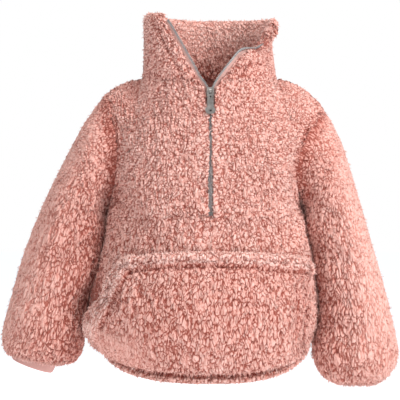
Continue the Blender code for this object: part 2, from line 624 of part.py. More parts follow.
def strip(name, side, path, across, through, finish):
    """A bar swept along the zip: across from the fleece's edge into the opening, through along the normal."""
    points, normals = path
    along = unit(np.gradient(points, axis=0))
    sideways = unit(np.cross(normals, along)) * side
    near, far = across
    low, high = through
    section = ((near, high), (far, high), (far, low), (near, low))
    corners = [points + sideways * reach + normals * depth for reach, depth in section]
    count = len(points)
    ring = np.stack(corners, axis=1).reshape(-1, 3)
    faces = []
    for i in range(count - 1):
        for j in range(4):
            k = (j + 1) % 4
            quad = (4 * i + j, 4 * i + k, 4 * i + 4 + k, 4 * i + 4 + j)
            faces.append(quad[::-1] if side > 0 else quad)
    ends = [(3, 2, 1, 0), tuple(4 * (count - 1) + j for j in range(4))]
    faces += [end[::-1] for end in ends] if side > 0 else ends
    mesh = bpy.data.meshes.new(name)
    mesh.from_pydata(ring.tolist(), [], faces)
    piece = bpy.data.objects.new(name, mesh)
    bpy.context.scene.collection.objects.link(piece)
    mesh.materials.append(finish)
    return piece


# Zip hardware, in a local frame at the place on the zip: X across, -Y out of the cloth, Z up the zip.
PLATE_OUTLINE = [  # half of the slider's plate: across and up, from its top round to its lower end
    (0.0030, 0.0036),
    (0.0040, 0.0026),
    (0.0043, 0.0008),
    (0.0043, -0.0042),
    (0.0036, -0.0066),
    (0.0022, -0.0075),
]
PLATE_OUT = (-0.0006, 0.0007)  # the front plate's two faces, measured out of the pile's tips
BACK_PLATE_OUT = (-0.0051, -0.0037)
POST = dict(half_x=0.0006, up=(0.0016, 0.0032), sunk=0.0004)
PIVOT_DOWN = 0.0015
PIVOT_OUT = 0.0025
ARCH_RADII = (0.0014, 0.0024)
ARCH_HALF = 0.0011
ARCH_SIDES = 10
TAB_HALF_THICK = 0.0006
CUT_THROUGH = 3  # how far the cutters reach, in half thicknesses
TAB_OUTLINE = [  # half of the pull tab: across and up from its pivot
    (0.0026, 0.0008),
    (0.0034, 0.0000),
    (0.0036, -0.0060),
    (0.0036, -0.0185),
    (0.0056, -0.0205),
    (0.0059, -0.0235),
    (0.0046, -0.0262),
    (0.0020, -0.0270),
]
TAB_EYE = dict(half_x=0.0016, up=(-0.0031, -0.0008))
TAB_DOT = dict(up=-0.0068, radius=0.0010)
TAB_HOLE = dict(up=-0.0232, half_x=0.0018, half_z=0.0011)
STOP_HALF = (0.0026, 0.0012)  # across and along the zip
STOP_Z = -0.1605
STOP_OUT = (-0.0008, 0.0004)


def zip_frame(front, z):
    """The place on the zip's middle line at a height: a matrix whose Z runs up the zip and -Y points out."""
    centre = (front[-1][0][:, 0] + front[1][0][:, 0]) / 2
    normal = unit(front[-1][1][:, 0] + front[1][1][:, 0])
    order = np.argsort(centre[:, 2])
    place = [np.interp(z, centre[order, 2], centre[order, i]) for i in range(3)]
    out = [np.interp(z, centre[order, 2], normal[order, i]) for i in range(3)]
    out = Vector((0, out[1], out[2])).normalized()
    up = Vector((1, 0, 0)).cross(-out).normalized()
    frame = Matrix((Vector((1, 0, 0)), -out, up)).transposed().to_4x4()
    frame.translation = Vector((0, place[1], place[2]))
    return frame


def add_mesh(name, build, frame, finish=None, cutter=False):
    """An object from a bmesh that the given function fills."""
    bm = bmesh.new()
    build(bm)
    bmesh.ops.recalc_face_normals(bm, faces=bm.faces)
    mesh = bpy.data.meshes.new(name)
    bm.to_mesh(mesh)
    bm.free()
    made = bpy.data.objects.new(name, mesh)
    bpy.context.scene.collection.objects.link(made)
    made.matrix_world = frame
    if cutter:
        made.hide_render = True
        made.display_type = "WIRE"
    if finish:
        mesh.materials.append(finish)
    return made


def prism(outline, axis, low, high):
    """A function that fills a bmesh with an outline pushed along X or Y, from its low face to its high one."""

    def build(bm):
        if axis == "y":
            corners = [bm.verts.new((a, low, b)) for a, b in outline]
            push = Vector((0, high - low, 0))
        else:
            corners = [bm.verts.new((low, a, b)) for a, b in outline]
            push = Vector((high - low, 0, 0))
        face = bm.faces.new(corners)
        moved = bmesh.ops.extrude_face_region(bm, geom=[face])["geom"]
        bmesh.ops.translate(bm, verts=[v for v in moved if isinstance(v, bmesh.types.BMVert)], vec=push)

    return build


def mirrored(outline):
    return outline + [(-a, b) for a, b in reversed(outline)]


def rectangle(half_x, low, high):
    return [(half_x, low), (half_x, high), (-half_x, high), (-half_x, low)]


def disc(up, half_x, half_z, sides=16):
    turns = [2 * math.pi * i / sides for i in range(sides)]
    return [(half_x * math.cos(t), up + half_z * math.sin(t)) for t in turns]


def combine(target, other, operation):
    change = target.modifiers.new(operation.title(), "BOOLEAN")
    change.operation = operation
    change.solver = "EXACT"
    change.object = other


def slider(name, frame, finish):
    """The slider: two plates, the post between them, and an arch that holds the pull tab."""
    plate = mirrored(PLATE_OUTLINE)
    body = add_mesh(name, prism(plate, "y", -PLATE_OUT[1], -PLATE_OUT[0]), frame, finish)
    back = add_mesh(name + "_back", prism(plate, "y", -BACK_PLATE_OUT[1], -BACK_PLATE_OUT[0]), frame, cutter=True)
    through = prism(rectangle(POST["half_x"], *POST["up"]), "y", 0.0, -BACK_PLATE_OUT[1] + POST["sunk"])
    post = add_mesh(name + "_post", through, frame, cutter=True)
    steps = [math.pi * i / ARCH_SIDES for i in range(ARCH_SIDES + 1)]
    small, large = ARCH_RADII
    outline = [(0.0, -PIVOT_DOWN + large)]
    outline += [(-PIVOT_OUT - large * math.sin(t), -PIVOT_DOWN + large * math.cos(t)) for t in steps]
    outline += [(0.0, -PIVOT_DOWN - large), (0.0, -PIVOT_DOWN - small)]
    outline += [(-PIVOT_OUT - small * math.sin(t), -PIVOT_DOWN - small * math.cos(t)) for t in steps]
    outline += [(0.0, -PIVOT_DOWN + small)]
    arch = add_mesh(name + "_arch", prism(outline, "x", -ARCH_HALF, ARCH_HALF), frame, cutter=True)
    for other in (back, post, arch):
        combine(body, other, "UNION")


def pull_tab(name, frame, finish):
    """The pull tab, hung on the arch by the bar at the top of its eye. Its origin is on that bar's axis."""
    hung = frame @ Matrix.Translation((0, -PIVOT_OUT, -PIVOT_DOWN))
    tab = add_mesh(name, prism(mirrored(TAB_OUTLINE), "y", -TAB_HALF_THICK, TAB_HALF_THICK), hung, finish)
    holes = [
        rectangle(TAB_EYE["half_x"], *TAB_EYE["up"]),
        disc(TAB_DOT["up"], TAB_DOT["radius"], TAB_DOT["radius"]),
        disc(TAB_HOLE["up"], TAB_HOLE["half_x"], TAB_HOLE["half_z"]),
    ]
    for i, outline in enumerate(holes):
        wide = TAB_HALF_THICK * CUT_THROUGH
        cutter = add_mesh(f"{name}_cutter_{i}", prism(outline, "y", -wide, wide), hung, cutter=True)
        combine(tab, cutter, "DIFFERENCE")


def build():
    for old in list(bpy.data.objects):
        bpy.data.objects.remove(old, do_unlink=True)
    fleece = material("pink_fleece", PINK, 0.9)
    jersey = material("dusty_jersey", DUSTY_PINK, 0.8)
    woven = material("pale_tape", PALE_PINK, 0.7)
    metal = material("brushed_steel", STEEL, 0.35, 1.0)
    front = panel("front", -1, fleece)
    back = panel("back", 1, fleece)
    for side, name in ((-1, "left"), (1, "right")):
        sleeve("sleeve_" + name, side, front, back, fleece)
        cuff("cuff_" + name, side, jersey)
    collar_edges = collar("collar", fleece)
    pocket("pocket", fleece)
    for side, name in ((-1, "left"), (1, "right")):
        path = zip_path(side, front, collar_edges)
        strip("zip_tape_" + name, side, path, TAPE_ACROSS, TAPE_OUT, woven)
        strip("zip_teeth_" + name, side, path, TEETH_ACROSS, TEETH_OUT, metal)
    at_v = zip_frame(front, V_BOTTOM_Z)
    slider("zip_slider", at_v, metal)
    pull_tab("pull_tab", at_v, metal)
    stop = prism(rectangle(STOP_HALF[0], -STOP_HALF[1], STOP_HALF[1]), "y", -STOP_OUT[1], -STOP_OUT[0])
    add_mesh("zip_stop", stop, zip_frame(front, STOP_Z), metal)


build()
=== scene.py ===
import math

import bmesh
import bpy
import numpy as np
from mathutils import Matrix, Vector


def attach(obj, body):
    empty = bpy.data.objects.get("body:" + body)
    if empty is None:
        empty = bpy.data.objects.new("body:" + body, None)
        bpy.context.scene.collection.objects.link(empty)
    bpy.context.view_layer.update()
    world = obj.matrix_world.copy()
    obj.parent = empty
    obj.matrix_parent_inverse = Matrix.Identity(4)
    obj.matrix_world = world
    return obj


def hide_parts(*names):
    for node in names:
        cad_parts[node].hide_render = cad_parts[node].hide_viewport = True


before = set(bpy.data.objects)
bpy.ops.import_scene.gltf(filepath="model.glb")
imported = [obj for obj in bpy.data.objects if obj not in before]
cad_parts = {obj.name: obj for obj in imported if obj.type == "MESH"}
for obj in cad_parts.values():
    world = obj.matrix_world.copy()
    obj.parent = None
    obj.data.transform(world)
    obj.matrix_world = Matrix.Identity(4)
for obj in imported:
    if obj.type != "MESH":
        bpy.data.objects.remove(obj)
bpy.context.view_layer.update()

# The studio: the pullover hangs level with the camera, 1.8 m away, in front of white. The main light stands
# high on the viewer's right. Weaker ones help from the left, from above and from behind, in a white room.
scene = bpy.context.scene
scene.view_settings.view_transform = "Standard"
camera_data = bpy.data.cameras.new("camera")
camera_data.sensor_width = 36.0
camera_data.lens = 135.0
camera = bpy.data.objects.new("camera", camera_data)
camera.location = (-0.012, -1.8, -0.146)
camera.rotation_euler = (math.radians(90), 0, 0)
scene.collection.objects.link(camera)
scene.camera = camera

for name, place, size, watts in (
    ("key_light", (1.40, -1.10, 0.90), 0.6, 35.0),
    ("fill_light", (-0.8, -1.6, 1.0), 0.6, 9.0),
    ("top_light", (0.15, -0.45, 1.5), 0.9, 15.0),
    ("back_light", (-0.2, 1.8, 1.0), 1.4, 16.0),
):
    lamp = bpy.data.lights.new(name, "AREA")
    lamp.shape = "DISK"
    lamp.size = size
    lamp.energy = watts
    light = bpy.data.objects.new(name, lamp)
    light.location = place
    aim = Vector((0, 0, -0.15)) - Vector(place)
    light.rotation_euler = aim.to_track_quat("-Z", "Y").to_euler()
    scene.collection.objects.link(light)

room = bpy.data.worlds.new("white_room")
scene.world = room
room.use_nodes = True
sky = room.node_tree.nodes["Background"]
sky.inputs["Color"].default_value = (1.0, 0.985, 0.97, 1.0)
sky.inputs["Strength"].default_value = 0.29
bright = room.node_tree.nodes.new("ShaderNodeBackground")
bright.inputs["Color"].default_value = (1.0, 1.0, 1.0, 1.0)
bright.inputs["Strength"].default_value = 1.0
seen = room.node_tree.nodes.new("ShaderNodeLightPath")
choose = room.node_tree.nodes.new("ShaderNodeMixShader")
room.node_tree.links.new(seen.outputs["Is Camera Ray"], choose.inputs[0])
room.node_tree.links.new(sky.outputs[0], choose.inputs[1])
room.node_tree.links.new(bright.outputs[0], choose.inputs[2])
room.node_tree.links.new(choose.outputs[0], room.node_tree.nodes["World Output"].inputs["Surface"])

FLOOR_RADIUS = 12.0
FLOOR_LEVEL = -0.62
bm = bmesh.new()
bmesh.ops.create_circle(bm, cap_ends=True, radius=FLOOR_RADIUS, segments=64)
bmesh.ops.translate(bm, verts=bm.verts, vec=(0, 0, FLOOR_LEVEL))
floor_mesh = bpy.data.meshes.new("floor")
bm.to_mesh(floor_mesh)
bm.free()
floor = bpy.data.objects.new("floor", floor_mesh)
scene.collection.objects.link(floor)
floor_paint = bpy.data.materials.new("pale_floor")
floor_paint.use_nodes = True
floor_shader = floor_paint.node_tree.nodes["Principled BSDF"]
floor_shader.inputs["Base Color"].default_value = (0.9, 0.9, 0.9, 1.0)
floor_shader.inputs["Roughness"].default_value = 0.9
floor_shader.inputs["Emission Color"].default_value = (0.88, 0.94, 1, 1)
floor_shader.inputs["Emission Strength"].default_value = 0.82
floor_mesh.materials.append(floor_paint)


# The front and back: teddy fleece, a knitted backing with a long pile that curls into knobs about 4 mm
# across on the chest and into longer locks, pointing down, lower on the body. Only the backing shows inside.
class Wire:
    """A socket of a node tree, so that its maths reads as Python expressions."""

    def __init__(self, tree, socket=None):
        self.tree = tree
        self.socket = socket

    def node(self, kind, settings, inputs, output=0):
        """Any node: its settings first, then the values or links of its sockets."""
        made = self.tree.nodes.new(kind)
        for name, value in settings.items():
            if name == "stops":
                ramp = made.color_ramp
                ramp.elements[0].position = value[0][0]
                ramp.elements[1].position = value[-1][0]
                for place, _ in value[1:-1]:
                    ramp.elements.new(place)
                for element, (_, colour) in zip(ramp.elements, value):
                    element.color = (*colour, 1.0)
            else:
                setattr(made, name, value)
        for name, value in inputs.items():
            if isinstance(value, Wire):
                self.tree.links.new(value.socket, made.inputs[name])
            else:
                made.inputs[name].default_value = value
        return Wire(self.tree, None if output is None else made.outputs[output])

    def maths(self, operation, first, second):
        return self.node("ShaderNodeMath", {"operation": operation}, {0: first, 1: second})

    def __add__(self, other):
        return self.maths("ADD", self, other)

    def __radd__(self, other):
        return self.maths("ADD", other, self)

    def __sub__(self, other):
        return self.maths("SUBTRACT", self, other)

    def __rsub__(self, other):
        return self.maths("SUBTRACT", other, self)

    def __mul__(self, other):
        return self.maths("MULTIPLY", self, other)

    def __rmul__(self, other):
        return self.maths("MULTIPLY", other, self)

    def bent_by(self, offset, amount):
        """These coordinates moved by a colour's three channels."""
        inputs = {0: offset, 1: (amount,) * 3, 2: self}
        return self.node("ShaderNodeVectorMath", {"operation": "MULTIPLY_ADD"}, inputs)

    def blend(self, first, second):
        """A colour between two, by this factor."""
        settings = {"data_type": "RGBA", "clamp_factor": True}
        return self.node("ShaderNodeMix", settings, {0: self, 6: first, 7: second}, output=2)


def finish_for(name, fixed):
    """A Principled material with its constants set, and a wire to draw its nodes from."""
    made = bpy.data.materials.new(name)
    made.use_nodes = True
    shader = made.node_tree.nodes["Principled BSDF"]
    for socket, value in fixed.items():
        shader.inputs[socket].default_value = value
    return made, shader, Wire(made.node_tree)


WIDE_BEND = 1.7  # how many curls the rows are bent by, over about two curls
SMALL_BEND = 0.6  # and over about half a curl
CURL_STEEP = 4.8  # how fast a curl rises from its edge
GROOVE_STEEP = 11.0  # how fast the pile rises from a groove that winds over the curls
GROOVE_DEPTH = 0.45


def curl_height(start, lie):
    """How high the pile stands, 0 in a crevice and 1 on a curl, for the mesh and for the colours alike."""
    wide = start.node("ShaderNodeTexNoise", {}, {"Vector": lie, "Scale": 0.55, "Detail": 0.0}, output=1)
    small = start.node("ShaderNodeTexNoise", {}, {"Vector": lie, "Scale": 1.7, "Detail": 0.0}, output=1)
    bent = lie.bent_by(wide, WIDE_BEND).bent_by(small, SMALL_BEND)
    edge = start.node("ShaderNodeTexVoronoi", {"feature": "DISTANCE_TO_EDGE"}, {"Vector": bent, "Scale": 1.0})
    flank = 1.0 - start.maths("MINIMUM", edge * CURL_STEEP, 1.0)
    depth = start.node("ShaderNodeTexNoise", {}, {"Vector": lie, "Scale": 0.8, "Detail": 1.0})
    parted = flank * start.maths("MINIMUM", depth * 3.6 - 0.70, 1.0)
    winds = {"Vector": lie, "Scale": 1.25, "Detail": 1.0, "Distortion": 0.5}
    winding = start.node("ShaderNodeTexNoise", {}, winds)
    away = start.maths("ABSOLUTE", winding - 0.5, 0.0) * GROOVE_STEEP
    groove = 1.0 - start.maths("MINIMUM", away, 1.0)
    return 1.0 - start.maths("MAXIMUM", start.maths("MAXIMUM", parted, 0.0), groove * groove * GROOVE_DEPTH)


BRUSHED_HEIGHT = 0.80  # where the pile stands, on the same scale, once it is brushed smooth
# The fleece's colour by curl height: dark red painted shade in the crevices, rising to a pale painted highlight
# on the curls' tops.
FLEECE_SHADE_STOPS = [
    (0.00, (0.270, 0.062, 0.044)),
    (0.22, (0.430, 0.145, 0.110)),
    (0.46, (0.640, 0.310, 0.258)),
    (0.78, (0.740, 0.430, 0.372)),
    (1.00, (0.880, 0.630, 0.570)),
]
fleece, shader, start = finish_for(
    "pink_fleece",
    {
        "Roughness": 0.92,
        "Specular IOR Level": 0.12,
        "Sheen Weight": 0.30,
        "Sheen Roughness": 0.5,
        "Sheen Tint": (1.0, 0.74, 0.68, 1.0),
    },
)
place = start.node("ShaderNodeTexCoord", {}, {}, output=3)
lie = start.node("ShaderNodeAttribute", {"attribute_name": "lie"}, {}, output=1)
pile = start.node("ShaderNodeAttribute", {"attribute_name": "pile"}, {}, output=2)
hollow = start.node("ShaderNodeAttribute", {"attribute_name": "hollow"}, {}, output=2)
brushed = start.node("ShaderNodeAttribute", {"attribute_name": "brushed"}, {}, output=2)
curl = curl_height(start, lie)
curl = curl + (BRUSHED_HEIGHT - curl) * brushed
strands = {"Vector": lie, "Scale": 4.5, "Detail": 2.0, "Distortion": 0.8}
fibre = start.node("ShaderNodeTexNoise", {}, strands)
cloud = start.node("ShaderNodeTexNoise", {}, {"Vector": place, "Scale": 14.0, "Detail": 2.0})
# The colour level: the curl's height gives painted shade and highlight, and the painted shading attribute
# darkens it where shade falls; its values below 0 paint light.
level = curl * 0.84 + (fibre - 0.5) * 0.42 + (cloud - 0.5) * 0.30 - hollow * 0.6
base_colour = start.node("ShaderNodeValToRGB", {"stops": FLEECE_SHADE_STOPS}, {"Fac": level})
ribs = {"Vector": place, "Scale": 180.0, "Distortion": 0.5}
rib = start.node("ShaderNodeTexWave", {"bands_direction": "X"}, ribs)
backing = (rib * 0.35).blend((0.46, 0.200, 0.165, 1), (0.57, 0.275, 0.230, 1))
colour = pile.blend(backing, base_colour)
bump = start.node("ShaderNodeBump", {}, {"Strength": 0.6, "Distance": 0.0012, "Height": curl + fibre * 0.5})
start.tree.links.new(colour.socket, shader.inputs["Base Color"])
start.tree.links.new(bump.socket, shader.inputs["Normal"])

reader = bpy.data.node_groups.new("curl_reader", "GeometryNodeTree")
reader.interface.new_socket("Geometry", in_out="INPUT", socket_type="NodeSocketGeometry")
reader.interface.new_socket("Geometry", in_out="OUTPUT", socket_type="NodeSocketGeometry")
start = Wire(reader)
given = start.node("NodeGroupInput", {}, {})
lie = start.node("GeometryNodeInputNamedAttribute", {"data_type": "FLOAT_VECTOR"}, {"Name": "lie"})
kept = start.node(
    "GeometryNodeStoreNamedAttribute",
    {"data_type": "FLOAT", "domain": "POINT"},
    {"Geometry": given, "Name": "curl", "Value": curl_height(start, lie)},
)
start.node("NodeGroupOutput", {"is_active_output": True}, {"Geometry": kept}, output=None)


SHARP = math.radians(50)


def sharp_edges(node, wanted):
    """The ends of a solid's sharp edges at the places that are wanted."""
    bm = bmesh.new()
    bm.from_mesh(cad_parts[node].data)
    bmesh.ops.remove_doubles(bm, verts=bm.verts, dist=1e-5)
    ends = []
    for edge in bm.edges:
        low, high = edge.verts[0].co, edge.verts[1].co
        if edge.calc_face_angle(0) > SHARP and wanted((low + high) / 2, high - low):
            ends.append((np.array(low), np.array(high)))
    bm.free()
    return ends


def away_from(points, ends):
    """Each point's distance to the nearest of some edges."""
    best = np.full(len(points), 1.0)
    for low, high in ends:
        run = high - low
        share = np.clip((points - low) @ run / max(run @ run, 1e-12), 0, 1)
        best = np.minimum(best, np.linalg.norm(points - low - share[:, None] * run, axis=1))
    return best


def evaluated(mesh, set_up):
    """The mesh after a modifier."""
    rough = bpy.data.objects.new("rough", mesh)
    scene.collection.objects.link(rough)
    set_up(rough.modifiers)
    bpy.context.view_layer.update()
    made = bpy.data.meshes.new_from_object(rough.evaluated_get(bpy.context.evaluated_depsgraph_get()))
    bpy.data.objects.remove(rough)
    return made


def round_off(modifiers):
    smooth = modifiers.new("round", "SUBSURF")
    smooth.levels = smooth.render_levels = 2


def read_curls(modifiers):
    modifiers.new("curls", "NODES").node_group = reader


def dense_copy(node, is_seam, shows, down=Vector((0, 0, -1))):
    """A cloth solid's copy, rounded off except at its seams and divided finely on the side that shows."""
    bm = bmesh.new()
    bm.from_mesh(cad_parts[node].data)
    bmesh.ops.remove_doubles(bm, verts=bm.verts, dist=1e-5)
    bmesh.ops.join_triangles(
        bm, faces=bm.faces, angle_face_threshold=math.radians(45), angle_shape_threshold=math.radians(180)
    )
    crease = bm.edges.layers.float.new("crease_edge")
    for edge in bm.edges:
        middle = (edge.verts[0].co + edge.verts[1].co) / 2
        if edge.calc_face_angle(0) > SHARP and is_seam(middle):
            edge[crease] = 1.0
    mesh = bpy.data.meshes.new(node + "_copy")
    bm.to_mesh(mesh)
    bm.free()
    rounded = evaluated(mesh, round_off)
    bm = bmesh.new()
    bm.from_mesh(rounded)
    shown = [face for face in bm.faces if shows(face.calc_center_median(), face.normal)]
    across, along = {}, {}
    for face in shown:
        for edge in face.edges:
            run = edge.verts[1].co - edge.verts[0].co
            (along if abs(run.dot(down)) > 0.6 * run.length else across)[edge] = True
    bmesh.ops.subdivide_edges(bm, edges=list(across), cuts=2, use_grid_fill=True)
    bmesh.ops.subdivide_edges(bm, edges=[edge for edge in along if edge.is_valid], cuts=1, use_grid_fill=True)
    bm.to_mesh(rounded)
    bm.free()
    return rounded


def read_points(mesh):
    """A mesh's points and their normals as arrays."""
    points = np.zeros(len(mesh.vertices) * 3)
    mesh.vertices.foreach_get("co", points)
    normals = np.zeros(len(mesh.vertices) * 3)
    mesh.vertex_normals.foreach_get("vector", normals)
    return points.reshape(-1, 3), normals.reshape(-1, 3)


PILE_OVER = 0.0006  # how far the tips of the curls stand over the solid


def grow_pile(name, mesh, shown, lie, down, deep, lean, raised, moved, hollow, brushed=0.0):
    """Presses the crevices between the curls into the cloth, and lets each curl lean down over the next."""
    # The painted shading goes on with the lie, the pile and the brushing, as attributes for the fleece's
    # material.
    for title, kind, field, values in (
        ("lie", "FLOAT_VECTOR", "vector", lie),
        ("pile", "FLOAT", "value", shown),
        ("hollow", "FLOAT", "value", hollow + np.zeros(len(shown))),
        ("brushed", "FLOAT", "value", brushed + np.zeros(len(shown))),
    ):
        mesh.attributes.new(title, kind, "POINT").data.foreach_set(field, values.astype(np.float32).ravel())
    grown = evaluated(mesh, read_curls)
    curl = np.zeros(len(shown))
    grown.attributes["curl"].data.foreach_get("value", curl)
    grown.attributes.remove(grown.attributes["curl"])
    points, normals = read_points(grown)
    curl += (BRUSHED_HEIGHT - curl) * brushed
    lift = shown * (curl * (deep + PILE_OVER) - deep + raised)
    along = down - normals * np.sum(down * normals, axis=1, keepdims=True)
    leaned = shown * lean * (curl - 0.6)
    points = points + normals * lift[:, None] + along * leaned[:, None] + moved
    grown.vertices.foreach_set("co", points.ravel())
    grown.shade_smooth()
    grown.update()
    grown.name = name
    return grown


STRAND_LENGTH = (0.0024, 0.0052)
STRAND_THICK = (0.00042, 0.00034)  # its radius at the root and at the knee
STRAND_SUNK = 0.0008
# Painted shading along a strand: painted shade at the root, a painted highlight at the tip.
STRAND_SHADE = [0.10, 0.10, 0.10, -0.10, -0.10, -0.10, -0.30]  # darker at the root, lighter at the tip


def grow_fringe(name, mesh, down, count, seed):
    """Loose ends of the pile, 2 to 5 mm long, that stand off the curls and make the outline soft."""
    random = np.random.default_rng(seed)
    points, normals = read_points(mesh)
    lie, shown, hollow = np.zeros(points.size), np.zeros(len(points)), np.zeros(len(points))
    mesh.attributes["lie"].data.foreach_get("vector", lie)
    mesh.attributes["pile"].data.foreach_get("value", shown)
    mesh.attributes["hollow"].data.foreach_get("value", hollow)
    roots = random.choice(np.flatnonzero((shown > 0.8) & (hollow < 0.75)), count, replace=False)
    normal = normals[roots]
    way = normal * random.uniform(0.7, 1.1, (count, 1)) + down * random.uniform(0.1, 0.6, (count, 1))
    way += random.normal(0, 0.25, (count, 3))
    way /= np.linalg.norm(way, axis=1, keepdims=True)
    length = random.uniform(*STRAND_LENGTH, (count, 1))
    side = np.cross(way, normal)
    side /= np.linalg.norm(side, axis=1, keepdims=True) + 1e-9
    flat = np.cross(side, way)
    root = points[roots] - normal * STRAND_SUNK
    knee = root + way * length * 0.55 + normal * length * 0.10
    tip = root + way * length * 0.9 + down * length * 0.25 - normal * length * 0.05
    rings = []
    for middle, thick in zip((root, knee), STRAND_THICK):
        for turn in (0, 2.0944, 4.1888):
            rings.append(middle + thick * (side * math.cos(turn) + flat * math.sin(turn)))
    places = np.stack([*rings, tip], axis=1).reshape(-1, 3)
    first = np.arange(count)[:, None] * 7
    quads = [first + np.array([i, (i + 1) % 3, (i + 1) % 3 + 3, i + 3]) for i in range(3)]
    ends = [first + np.array([i + 3, (i + 1) % 3 + 3, 6]) for i in range(3)] + [first + np.array([2, 1, 0])]
    faces = np.concatenate(quads).tolist() + np.concatenate(ends).tolist()
    fringe = bpy.data.meshes.new(name)
    fringe.from_pydata(places, [], faces)
    strand = np.repeat(roots, 7)
    # Each strand also takes on the painted shade of the cloth at its root.
    shade = np.tile(STRAND_SHADE, count) + 0.8 * hollow[strand]
    for title, kind, field, values in (
        ("lie", "FLOAT_VECTOR", "vector", lie.reshape(-1, 3)[strand]),
        ("pile", "FLOAT", "value", np.ones(len(strand))),
        ("hollow", "FLOAT", "value", shade),
    ):
        fringe.attributes.new(title, kind, "POINT").data.foreach_set(field, values.astype(np.float32).ravel())
    fringe.shade_smooth()
    piece = bpy.data.objects.new(name, fringe)
    scene.collection.objects.link(piece)
    fringe.materials.append(fleece)
    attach(piece, "garment")


def fleece_piece(name, node, mesh):
    """Puts a finished fleece mesh in the scene in place of its solid."""
    piece = bpy.data.objects.new(name, mesh)
    scene.collection.objects.link(piece)
    mesh.materials.clear()
    mesh.materials.append(fleece)
    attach(piece, "garment")
    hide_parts(node)
    return piece


def lock_rows(z):
    """Curls counted up the body: 4 mm apart on the chest, 9 mm near the hem."""
    heights = np.array([-0.38, -0.30, -0.22, -0.16, -0.08, 0.12])
    spacing = np.array([0.0092, 0.0086, 0.0068, 0.0048, 0.0040, 0.0040])
    fine_z = np.linspace(-0.40, 0.12, 521)
    count = np.cumsum(1 / np.interp(fine_z, heights, spacing)) * (fine_z[1] - fine_z[0])
    return np.interp(z, fine_z, count)


def near_line(points, line):
    """Distance in front view to a stitched line, given as x and z, less than 0 above it."""
    line = np.array(line)
    best = np.full(len(points), 1.0)
    side = np.ones(len(points))
    flat = points[:, [0, 2]]
    for low, high in zip(line, line[1:]):
        run = high - low
        share = np.clip((flat - low) @ run / (run @ run), 0, 1)
        off = flat - low - share[:, None] * run
        far = np.linalg.norm(off, axis=1)
        closer = far < best
        side = np.where(closer, np.sign(run[1] * off[:, 0] - run[0] * off[:, 1]), side)
        best = np.where(closer, far, best)
    return best * side


def fade(distance, width):
    """1 on a line, falling softly to nearly 0 at twice the width."""
    return np.exp(-((distance / width) ** 2))


def ramp(values, start, length):
    """0 before the start, 1 after the length."""
    return np.clip((values - start) / length, 0, 1)


def folds(points, normals, face, table):
    """Soft troughs (less than 0) and ridges on lines in front view: x and z of both ends, depth, width."""
    total = np.zeros(len(points))
    for x0, z0, x1, z1, depth, width in table:
        low, run = np.array([x0, z0]), np.array([x1 - x0, z1 - z0])
        off = points[:, [0, 2]] - low
        share = np.clip(off @ run / (run @ run), 0, 1)
        far = np.linalg.norm(off - share[:, None] * run, axis=1)
        uneven = 0.75 + 0.25 * np.sin(share * 7 + x0 * 90)
        total += depth * uneven * np.sin(np.pi * (0.12 + 0.76 * share)) * fade(far, width)
    return total * np.clip(normals[:, 1] * face * 1.6, 0, 1)


CURL_ACROSS = 0.0036
FRONT_FOLDS = [
    (-0.105, -0.085, -0.060, -0.120, -0.0030, 0.008),
    (-0.115, -0.130, -0.070, -0.175, -0.0032, 0.009),
    (-0.118, -0.165, -0.095, -0.200, -0.0026, 0.007),
    (-0.085, -0.140, -0.050, -0.190, 0.0018, 0.012),
    (0.085, -0.040, 0.118, -0.075, -0.0036, 0.007),
    (0.110, -0.100, 0.070, -0.165, -0.0030, 0.009),
    (0.105, -0.150, 0.090, -0.200, -0.0026, 0.008),
    (0.045, -0.120, 0.060, -0.185, 0.0018, 0.012),
    (-0.030, -0.170, 0.030, -0.195, -0.0016, 0.009),
]
BACK_FOLDS = [
    (-0.100, -0.080, -0.050, -0.110, -0.0030, 0.009),
    (-0.115, -0.140, -0.060, -0.170, -0.0034, 0.010),
    (-0.100, -0.220, -0.040, -0.250, -0.0030, 0.012),
    (-0.040, -0.090, 0.050, -0.100, -0.0024, 0.011),
    (0.110, -0.100, 0.060, -0.150, -0.0032, 0.009),
    (0.105, -0.190, 0.050, -0.230, -0.0030, 0.011),
    (0.020, -0.180, 0.040, -0.290, 0.0024, 0.014),
    (-0.070, -0.270, 0.080, -0.290, -0.0026, 0.013),
]
DOWN = np.array([[0.0, 0.0, -1.0]])
HEM_GROOVE = 0.0105
HEM_BAND = ((0.0, 0.004, 0.008, HEM_GROOVE, 0.013, 0.017), (-0.0006, 0.0010, 0.0006, -0.0024, -0.0008, 0.0))
PATTERNS = {"front": (0.377, 0.356, 0.106), "back": (0.377, 0.364, 0.110)}  # flat width, length and area


def out_of_body(x, y, across, deep):
    """How far a wall of the body at x and y faces out, from its normal's parts in X and Y."""
    return across * (x + 0.008) * 0.6 + deep * y


